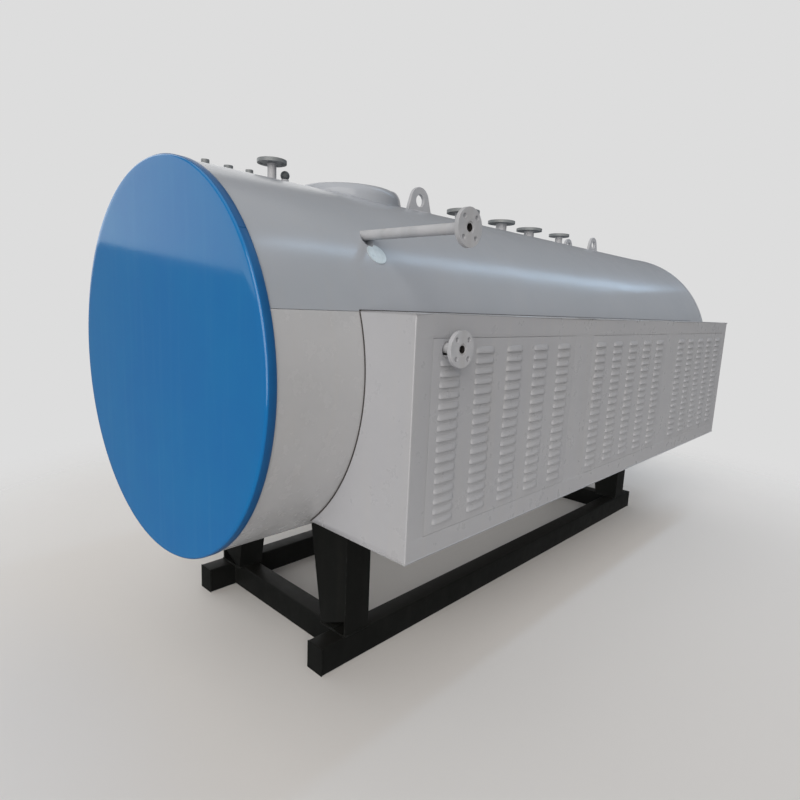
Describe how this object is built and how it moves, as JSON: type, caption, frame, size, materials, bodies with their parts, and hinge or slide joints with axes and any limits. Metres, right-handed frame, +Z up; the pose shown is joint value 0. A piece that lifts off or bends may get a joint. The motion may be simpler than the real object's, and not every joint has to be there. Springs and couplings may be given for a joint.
{
  "type": "industrial boiler",
  "caption": "Horizontal electric boiler: an insulated grey drum with a blue round front cover, a louvred heater cabinet along one side, flanged crown nozzles and a black steel skid.",
  "frame": {"origin": "middle of the bounding box at floor level", "axes": "+Z up, +Y along the drum from the blue front cover to the rear cover, +X towards the side with the heater cabinet"},
  "size_m": [2.0219, 4.743, 2.404],
  "materials": {
    "blue_enamel": "gloss",
    "grey_cladding": "satin",
    "cabinet_paint": "satin",
    "skid_paint": "semi-gloss",
    "fitting_paint": "satin",
    "plug_iron": "rough"
  },
  "bodies": {
    "root": {"front_cover": "blue_enamel", "drum_jacket_upper": "grey_cladding", "drum_jacket_lower": "grey_cladding", "dome_cap": "grey_cladding", "pipe_collar": "grey_cladding", "rear_cover": "grey_cladding", "cabinet_front_panel": "cabinet_paint", "cabinet_rear_panel": "cabinet_paint", "cabinet_top_panel": "cabinet_paint", "cabinet_bottom_panel": "cabinet_paint", "cabinet_side_frame": "cabinet_paint", "louvre_panel_front": "cabinet_paint", "louvre_panel_middle": "cabinet_paint", "louvre_panel_rear": "cabinet_paint", "skid_beam_left": "skid_paint", "skid_beam_right": "skid_paint", "skid_end_plates": "skid_paint", "cross_beam_front": "skid_paint", "cross_beam_rear": "skid_paint", "saddle_leg_front_left": "skid_paint", "saddle_leg_front_right": "skid_paint", "saddle_leg_rear_left": "skid_paint", "saddle_leg_rear_right": "skid_paint", "gauge_pipe_upper": "fitting_paint", "gauge_pipe_lower": "fitting_paint", "gauge_flange_upper": "fitting_paint", "gauge_flange_lower": "fitting_paint", "front_nozzle_neck": "fitting_paint", "front_nozzle_flange": "fitting_paint", "steam_nozzle_neck": "fitting_paint", "steam_nozzle_flange": "fitting_paint", "safety_nozzle_front_neck": "fitting_paint", "safety_nozzle_front_flange": "fitting_paint", "safety_nozzle_rear_neck": "fitting_paint", "safety_nozzle_rear_flange": "fitting_paint", "feed_nozzle_neck": "fitting_paint", "feed_nozzle_flange": "fitting_paint", "lifting_lugs_front": "fitting_paint", "lifting_lugs_rear": "fitting_paint", "crown_couplings": "fitting_paint", "plugged_coupling": "fitting_paint", "coupling_plug": "plug_iron"}
  },
  "joints": []
}
